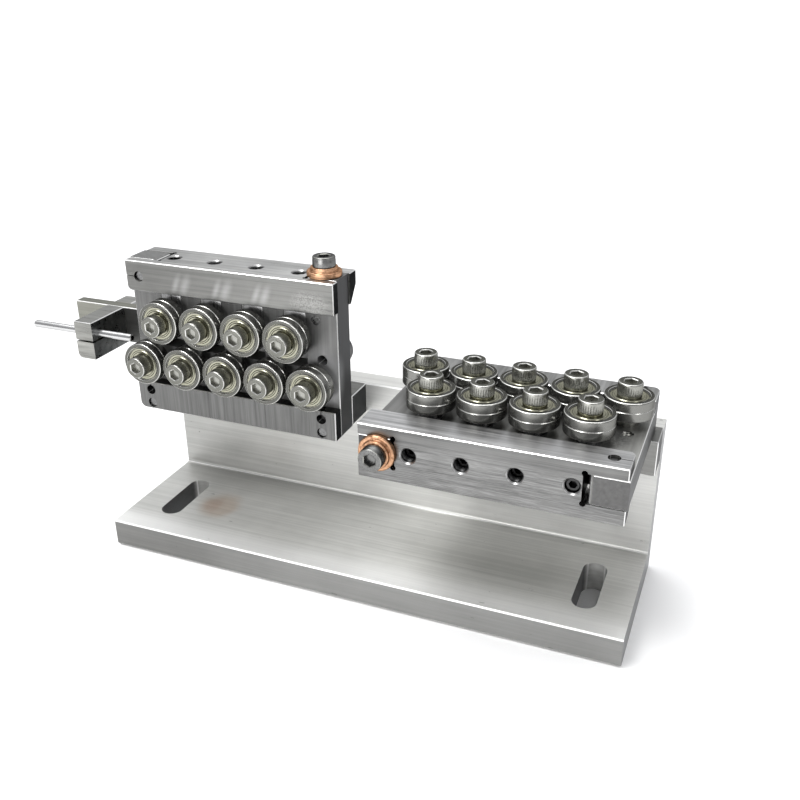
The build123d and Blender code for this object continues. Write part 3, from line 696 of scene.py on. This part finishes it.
# rollers: outer ring with a groove, raised shields and a split retaining ring on both sides
roller = {
    "radius": 8.5,
    "half": 3.5,
    "edge": 0.5,
    "edgeSteps": 5,
    "grooveHalf": 0.2,
    "grooveDepth": 0.16,
    "inner": 6.95,
    "innerEdge": 0.15,
    "innerReach": 0.55,  # of the inner wall, below the shield's face
    # painted shade on the ring's flat faces and painted glints on its rounded edges and groove
    "finishes": ["roller_steel", "shield_steel", "ring_face_shaded_steel", "painted_glint_steel"],
    "stepFinish": [2, 3, 2, 2, 3, 3, 0, 0, 0, 3],  # numbers in finishes, from the inner wall to the groove
    "samples": 96,
}
shield = {
    "drop": 0.4,  # from the ring's side to the shield's face
    "inner": [(4.0, -0.5), (4.0, -0.12), (4.1, 0.0)],  # radius, and height over the shield's face
    "bead": [(4.8, 0.0), (5.0, 0.18), (5.2, 0.22), (5.45, 0.22), (5.65, 0.05), (5.75, -0.12)],
    "outer": [(6.25, -0.12), (6.93, -0.12), (6.93, -0.5)],
}
retainer = {"radius": 6.55, "thick": 0.17, "gap": 16.0, "rise": 0.02, "samples": 60, "sides": 6}


def addRetainer(bm, height):
    r = retainer
    gap = math.radians(r["gap"])
    rings = []
    for step in range(r["samples"] + 1):
        angle = math.pi - gap / 2 - (2 * math.pi - gap) * step / r["samples"]
        ring = []
        for corner in range(r["sides"]):
            turn = 2 * math.pi * corner / r["sides"]
            radius = (r["radius"] + r["thick"] * math.cos(turn)) * millimetre
            z = (height + r["thick"] * math.sin(turn)) * millimetre
            ring.append(bm.verts.new((radius * math.cos(angle), radius * math.sin(angle), z)))
        rings.append(ring)
    joinRings(bm, rings)
    bm.faces.new(rings[0])
    bm.faces.new(rings[-1])


def makeRollerMesh():
    r = roller
    half, edge, radius, inner = (r[key] for key in ("half", "edge", "radius", "inner"))
    shieldFace = half - shield["drop"]
    wallFoot = (inner, shieldFace - r["innerReach"])
    ring = [wallFoot, (inner, half - r["innerEdge"]), (inner + r["innerEdge"], half)]
    ring += arc((radius - edge, half - edge), edge, 90, 0, r["edgeSteps"])
    ring += [(radius, r["grooveHalf"]), (radius - r["grooveDepth"], 0)]
    outline = ring + [(a, -b) for a, b in reversed(ring[:-1])]
    wallFinish = r["stepFinish"][0]
    stepFinish = [*r["stepFinish"], *reversed(r["stepFinish"]), wallFinish]
    bm = bmesh.new()
    still = Matrix.Identity(4)
    spin(bm, still, outline, r["samples"], stepFinish)
    shieldFinish = r["finishes"].index("shield_steel")
    for side in (1, -1):
        profile = shield["inner"] + shield["bead"] + shield["outer"]
        profile = [(a, side * (shieldFace + rise)) for a, rise in profile]
        spin(bm, still, profile, r["samples"], shieldFinish)
        addRetainer(bm, side * (shieldFace + retainer["rise"]))
    return meshFrom("roller", bm, r["finishes"])


rollerMesh = makeRollerMesh()
rollerCount = 0
for unit, axes in unitAxes.items():
    for row, numbers in (("fixed", fixedNumbers), ("moving", movingNumbers)):
        for number in numbers:
            node = f"{unit}_{row}_roller_{number}"
            piece = placeMesh(f"{node}_ring", rollerMesh, node, [node])
            piece.matrix_world = placeAlong(middle(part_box(node)), axes["out"], axes["along"])
            rollerCount += 1
print("rollers", rollerCount)

# socket screws
axleScrew = {"radius": 4.25, "height": 4.2, "rim": 0.55, "socketDepth": 1.7, "shank": 2.5, "knurled": True}
clampScrew = {"radius": 4.3, "height": 3.8, "rim": 0.5, "socketDepth": 1.8, "shank": 2.4, "knurled": False}
blockScrew = {"radius": 4.25, "height": 5.0, "rim": 0.5, "socketDepth": 2.6, "shank": 2.5, "knurled": True}
rearScrew = {"radius": 6.5, "height": 4.5, "rim": 1.6, "socketDepth": 2.4, "shank": 2.0, "knurled": False}
screwShape = {  # what all of them share
    "samples": 120,
    "tip": 0.4,  # bevel at the shank's end
    "foot": 0.25,  # bevel under the head, and its height
    "footRise": 0.2,
    "tooth": (0.0, 0.04, 0.16, 0.04),  # the knurl's depth, sample by sample
    "knurlEnd": 0.62,  # shares of the head's height
    "neckStart": 0.66,
    "neckDepth": 0.06,
    "rimSteps": 4,
    "flats": 4.0,
    "socketBevel": (0.3, 0.25),
}


def hexRadius(angle):
    fromFlat = (angle + math.pi / 6) % (math.pi / 3) - math.pi / 6
    return screwShape["flats"] / 2 / math.cos(fromFlat)


def addScrew(bm, place, settings, length, finishes=(0, 1, 2)):  # finishes: sides, face and edges
    s = screwShape
    radius, height, rim, shank = (settings[key] for key in ("radius", "height", "rim", "shank"))
    tooth = s["tooth"] if settings["knurled"] else (0.0,)
    neck = radius - s["neckDepth"]
    bevelWidth, bevelDepth = s["socketBevel"]

    def side(step, angle):
        return radius - tooth[step % len(tooth)]

    def socketRim(step, angle):
        return hexRadius(angle) + bevelWidth

    def socketWall(step, angle):
        return hexRadius(angle)

    profile = [
        (shank - s["tip"], height - length),
        (shank, height - length + s["tip"]),
        (shank, 0.0),
        (radius - s["foot"], 0.0),
        (side, s["footRise"]),
        (side, height * s["knurlEnd"]),
        (neck, height * s["neckStart"]),
    ]
    profile += arc((neck - rim, height - rim), rim, 0, 90, s["rimSteps"])
    profile += [(socketRim, height), (socketWall, height - bevelDepth)]
    profile += [(socketWall, height - settings["socketDepth"])]
    sides, face, edges = finishes
    stepFinish = [sides] * 9 + [edges, face, face, edges, sides]  # painted glints: a brighter finish at the rim and the socket's bevel
    rings = spin(bm, place, profile, s["samples"], stepFinish, closed=False)
    bm.faces.new(rings[0]).material_index = sides
    bm.faces.new(rings[-1]).material_index = sides


def screwDirection(box, directions):  # the axis that differs from the other two tells which way it points
    size = [box[1][i] - box[0][i] for i in range(3)]
    gaps = [abs(size[(i + 1) % 3] - size[(i + 2) % 3]) for i in range(3)]
    return directions["XYZ"[gaps.index(min(gaps))]]


def replaceScrews(node, name, settings, directions, finishNames):
    bm = bmesh.new()
    boxes = solidBoxes(node)
    for box in boxes:
        direction = screwDirection(box, directions)
        head = tipOf(box, direction)
        length = (head - tipOf(box, -direction)).length / millimetre
        seat = head - direction * settings["height"] * millimetre
        addScrew(bm, placeAlong(seat, direction), settings, length)
    placeMesh(name, meshFrom(name, bm, finishNames), bodyOf[node], [node])
    return len(boxes)


paleScrew = ["screw_steel", "screw_face_shaded_steel", "painted_glint_steel"]
darkScrew = ["clamp_screw_steel", "clamp_screw_steel", "screw_steel"]
domedScrew = ["pin_steel", "pin_steel", "clamp_screw_steel"]
towardsUser = {"Y": towardsFront, "Z": skyward}
screwSets = [  # node, piece, settings, where a head looks by its axis, finishes
    ("fixed_axle_screws", "axle_screws_knurled", axleScrew, towardsUser, paleScrew),
    ("block_screws", "block_screws_knurled", blockScrew, {"Y": towardsBack}, paleScrew),
    ("rear_screws", "rear_screws_domed", rearScrew, {"Y": towardsBack, "Z": downward}, domedScrew),
]
for unit in unitAxes:
    screwSets.append((f"{unit}_clamp_screw", f"{unit}_clamp_bolt", clampScrew, towardsUser, darkScrew))
print("screws", sum(replaceScrews(*screwSet) for screwSet in screwSets))

washer = {
    "bore": 2.7,
    "radius": 6.55,
    "thick": 2.2,
    "round": 0.6,
    "tierRadius": 5.1,
    "tierThick": 1.44,
    "tierRound": 0.45,
    "tierFoot": 0.15,
    "roundSteps": 4,
    "samples": 96,
    "room": 0.03,  # to the beam and to the screw head, so that nothing cuts in when they turn
}


def makeWasher(unit):
    w = washer
    node = f"{unit}_clamp_washer"
    up = unitAxes[unit]["up"]
    top = w["thick"] + w["tierThick"]
    edge, steps = w["radius"] - w["round"], w["roundSteps"]
    tierEdge = w["tierRadius"] - w["tierRound"]
    profile = [(w["bore"], 0.0)]
    profile += arc((edge, w["round"]), w["round"], -90, 0, steps)
    profile += arc((edge, w["thick"] - w["round"]), w["round"], 0, 90, steps)
    profile += [(w["tierRadius"] + w["tierFoot"], w["thick"]), (w["tierRadius"], w["thick"] + w["tierFoot"])]
    profile += arc((tierEdge, top - w["tierRound"]), w["tierRound"], 0, 90, steps)
    profile += [(w["bore"], top)]
    bm = bmesh.new()
    foot = tipOf(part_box(node), -up) + up * w["room"] * millimetre
    spin(bm, placeAlong(foot, up), profile, w["samples"])
    name = f"{node}_disc"
    placeMesh(name, meshFrom(name, bm, ["washer_copper"]), node, [node])


for unit in unitAxes:
    makeWasher(unit)
print("clamp washers", len(unitAxes))

# sliders: stepped block, spacer and inner ring with the axle screw of each adjustable roller
slider = {
    "front": 4.5,  # half widths of the narrow front and the wide back
    "wide": 6.0,
    "frontThick": 3.2,
    "thick": 8.0,
    "low": -9.8,
    "high": 9.75,
    "bevel": 0.25,
    "plateHalf": 5.25,  # from the plate's middle to its face
    "screwReach": 7.0,  # of the axle screw, into the block
}
spacer = {"radius": 4.0, "bore": 2.55, "low": 0.0, "high": 3.15}
innerRing = {"radius": 3.9, "bore": 2.55, "low": 3.15, "high": 11.15}
turnedEdge = 0.3
turnedSamples = 64


def addSliderBlock(bm, place):  # local X is along, Y up and Z out, with the axle at the origin
    s = slider
    half = [(s["front"], 0), (s["front"], -s["frontThick"]), (s["wide"], -s["frontThick"])]
    half.append((s["wide"], -s["thick"]))
    outline = [(-s["front"], 0), *half] + [(-x, z) for x, z in reversed(half[1:])]
    ends = []
    for y in (s["low"], s["high"]):
        ends.append([bm.verts.new(place @ (Vector((x, y, z)) * millimetre)) for x, z in outline])
    made = [bm.faces.new(ends[0]), bm.faces.new(ends[1])]
    for i in range(len(outline)):
        after = (i + 1) % len(outline)
        made.append(bm.faces.new((ends[0][i], ends[0][after], ends[1][after], ends[1][i])))
    edges = list(dict.fromkeys(edge for face in made for edge in face.edges))
    offset = s["bevel"] * millimetre
    bmesh.ops.bevel(bm, geom=edges, offset=offset, segments=2, affect="EDGES", profile=0.5)


def addTurned(bm, place, settings, finishIndex):
    bore, radius, low, high = (settings[key] for key in ("bore", "radius", "low", "high"))
    profile = [(bore, low), (radius - turnedEdge, low), (radius, low + turnedEdge)]
    profile += [(radius, high - turnedEdge), (radius - turnedEdge, high), (bore, high)]
    spin(bm, place, profile, turnedSamples, finishIndex)


blockFinish = {"upright": "slider_steel_z", "flat": "slider_steel_y"}
for unit, axes in unitAxes.items():
    out = axes["out"]
    front = middle(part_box(f"{unit}_body_plate")).dot(out) + slider["plateHalf"] * millimetre
    for number in movingNumbers:
        node = f"{unit}_slider_{number}"
        center = middle(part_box(f"{unit}_moving_roller_{number}"))
        place = placeBy(axes["along"], axes["up"], out, center + out * (front - center.dot(out)))
        bm = bmesh.new()
        addSliderBlock(bm, place)
        addTurned(bm, place, spacer, 1)
        addTurned(bm, place, innerRing, 2)
        seat = place @ Matrix.Translation((0, 0, innerRing["high"] * millimetre))
        length = axleScrew["height"] + innerRing["high"] + slider["screwReach"]
        addScrew(bm, seat, axleScrew, length, (3, 4, 5))
        name = f"{node}_assembly"
        finishNames = [blockFinish[unit], "slider_steel", "shield_steel", *paleScrew]
        placeMesh(name, meshFrom(name, bm, finishNames), node, [node])
print("sliders", len(unitAxes) * len(movingNumbers))

# threads that show in the open ends of the tapped holes
thread = {
    "pitch": 0.8,
    "depth": 0.28,
    "halfWidth": 0.42,  # of the pitch
    "sunk": 0.01,  # into the hole's wall
    "perTurn": 32,
    "fadeSteps": 12,
    "smoothAngle": 20.0,
}
beamHole = {"radius": 2.5, "mouth": 0.7, "room": 1.0, "shortest": 1.0}
outletHole = {"radius": 2.1, "mouth": 0.5, "at": (94.7, -3.3, 76.85), "depth": 9.5}


def addThread(bm, place, radius, length):  # height 0 at the hole's mouth, going down
    t = thread
    steps = int(length / t["pitch"] * t["perTurn"])
    half = t["pitch"] * t["halfWidth"]
    rows = []
    for step in range(steps + 1):
        angle = 2 * math.pi * step / t["perTurn"]
        fade = min(1.0, step / t["fadeSteps"], (steps - step) / t["fadeSteps"])
        z = -length * step / steps
        row = []
        for inward, rise in ((0.0, half), (t["depth"] * fade, 0.0), (0.0, -half)):
            reach = (radius + t["sunk"] - inward) * millimetre
            point = (reach * math.cos(angle), reach * math.sin(angle), (z + rise) * millimetre)
            row.append(bm.verts.new(place @ Vector(point)))
        rows.append(row)
    for here, after in zip(rows, rows[1:]):
        for i in range(2):
            bm.faces.new((here[i], here[i + 1], after[i + 1], after[i]))


def placeThreads(name, bm, finishName, body):
    mesh = meshFrom(name, bm, [finishName])
    placeMesh(name, mesh, body, smoothAngle=thread["smoothAngle"])


for unit, axes in unitAxes.items():
    up = axes["up"]
    beam = f"{unit}_beam"
    beamTop = tipOf(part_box(beam), up).dot(up)
    bm = bmesh.new()
    for number in movingNumbers:
        screwTop = tipOf(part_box(f"{unit}_set_screw_{number}"), up)
        depth = beamTop - screwTop.dot(up)
        mouth = screwTop + up * (depth - beamHole["mouth"] * millimetre)
        length = depth / millimetre - beamHole["room"]
        if length > beamHole["shortest"]:
            addThread(bm, placeAlong(mouth, up, axes["along"]), beamHole["radius"], length)
    # the dark set screw steel paints the shade inside the holes
    placeThreads(f"{beam}_threads", bm, "set_screw_steel", beam)
bm = bmesh.new()
mouth = Vector(outletHole["at"]) * millimetre - skyward * outletHole["mouth"] * millimetre
addThread(bm, placeAlong(mouth, skyward), outletHole["radius"], outletHole["depth"])
placeThreads("outlet_hole_thread", bm, "screw_steel", "frame")
print("threads", len(unitAxes) + 1, "pieces")

# floor, lights and camera
floorSettings = {
    "size": 80.0,
    "drop": 0.0002,
    "color": (0.88, 0.88, 0.88, 1),
    "roughness": 0.9,
    "specular": 0.1,
}
bpy.ops.mesh.primitive_plane_add(size=floorSettings["size"], location=(0, 0, -floorSettings["drop"]))
floor = bpy.context.object
floor.name = "floor"
floorMaterial = bpy.data.materials.new("floor_white")
floorMaterial.use_nodes = True
floorShader = floorMaterial.node_tree.nodes["Principled BSDF"]
floorShader.inputs["Base Color"].default_value = floorSettings["color"]
floorShader.inputs["Roughness"].default_value = floorSettings["roughness"]
floorShader.inputs["Specular IOR Level"].default_value = floorSettings["specular"]
floor.data.materials.append(floorMaterial)

bpy.context.scene.view_settings.view_transform = "Standard"
sun = {"from": (-0.2, 0.22, 1.0), "strength": 1.8, "angle": 60.0}
panels = [
    {"name": "front_panel", "at": (-0.3, -0.42, 0.95), "to": (0, 0, 0.06), "size": (0.5, 0.3), "power": 6.0},
    {"name": "low_panel", "at": (-0.15, -0.75, 0.2), "to": (0, 0, 0.07), "size": (0.5, 0.25), "power": 2.4},
    {"name": "right_panel", "at": (0.75, -0.35, 0.6), "to": (0, 0, 0.06), "size": (0.2, 0.5), "power": 1.0},
]


def addLamp(data, at, to):
    lamp = bpy.data.objects.new(data.name, data)
    bpy.context.scene.collection.objects.link(lamp)
    lamp.location = at
    lamp.rotation_euler = (Vector(to) - Vector(at)).to_track_quat("-Z", "Y").to_euler()


sunData = bpy.data.lights.new("sky_panel", "SUN")
sunData.energy = sun["strength"]
sunData.angle = math.radians(sun["angle"])
addLamp(sunData, sun["from"], (0, 0, 0))
for spec in panels:
    data = bpy.data.lights.new(spec["name"], "AREA")
    data.shape = "RECTANGLE"
    data.size, data.size_y = spec["size"]
    data.energy = spec["power"]
    addLamp(data, spec["at"], spec["to"])
sky = {  # brighter above and behind, darker in front, white where the camera sees it
    "low": (0.36, 0.36, 0.37, 1),
    "high": (0.92, 0.93, 0.95, 1),
    "seen": (1, 1, 1, 1),
    "toward": (-0.25, 0.6, 0.75),
    "from": 0.05,
    "to": 0.9,
}
world = bpy.data.worlds.new("studio")
bpy.context.scene.world = world
world.use_nodes = True
skyTree = world.node_tree
skyLink = skyTree.links.new
skyPlace = addNode(skyTree, "ShaderNodeTexCoord")
skyShare = addNode(skyTree, "ShaderNodeVectorMath", {1: sky["toward"]}, operation="DOT_PRODUCT")
skyRange = addNode(skyTree, "ShaderNodeMapRange", {"From Min": sky["from"], "From Max": sky["to"]})
skyColor = addNode(skyTree, "ShaderNodeMix", {"A": sky["low"], "B": sky["high"]}, data_type="RGBA")
skyRay = addNode(skyTree, "ShaderNodeLightPath")
skySeen = addNode(skyTree, "ShaderNodeMix", {"B": sky["seen"]}, data_type="RGBA")
skyLink(skyPlace.outputs["Generated"], skyShare.inputs[0])
skyLink(skyShare.outputs["Value"], skyRange.inputs["Value"])
skyLink(skyRange.outputs["Result"], skyColor.inputs["Factor"])
skyLink(skyRay.outputs["Is Camera Ray"], skySeen.inputs["Factor"])
skyLink(skyColor.outputs["Result"], skySeen.inputs["A"])
skyLink(skySeen.outputs["Result"], skyTree.nodes["Background"].inputs["Color"])

cameraSettings = {
    "at": (0.12760, -0.28439, 0.21686),
    "right": (0.92813, 0.37220, -0.00697),
    "up": (-0.15127, 0.39419, 0.90650),
    "back": (0.34015, -0.84029, 0.42216),
    "lens": 41.81,
    "sensor": 36.0,
    "near": 0.01,
}
cameraData = bpy.data.cameras.new("camera")
cameraData.lens = cameraSettings["lens"]
cameraData.sensor_width = cameraSettings["sensor"]
cameraData.clip_start = cameraSettings["near"]
camera = bpy.data.objects.new("camera", cameraData)
bpy.context.scene.collection.objects.link(camera)
camera.matrix_world = placeBy(*(cameraSettings[key] for key in ("right", "up", "back", "at")))
bpy.context.scene.camera = camera
print("stage set")
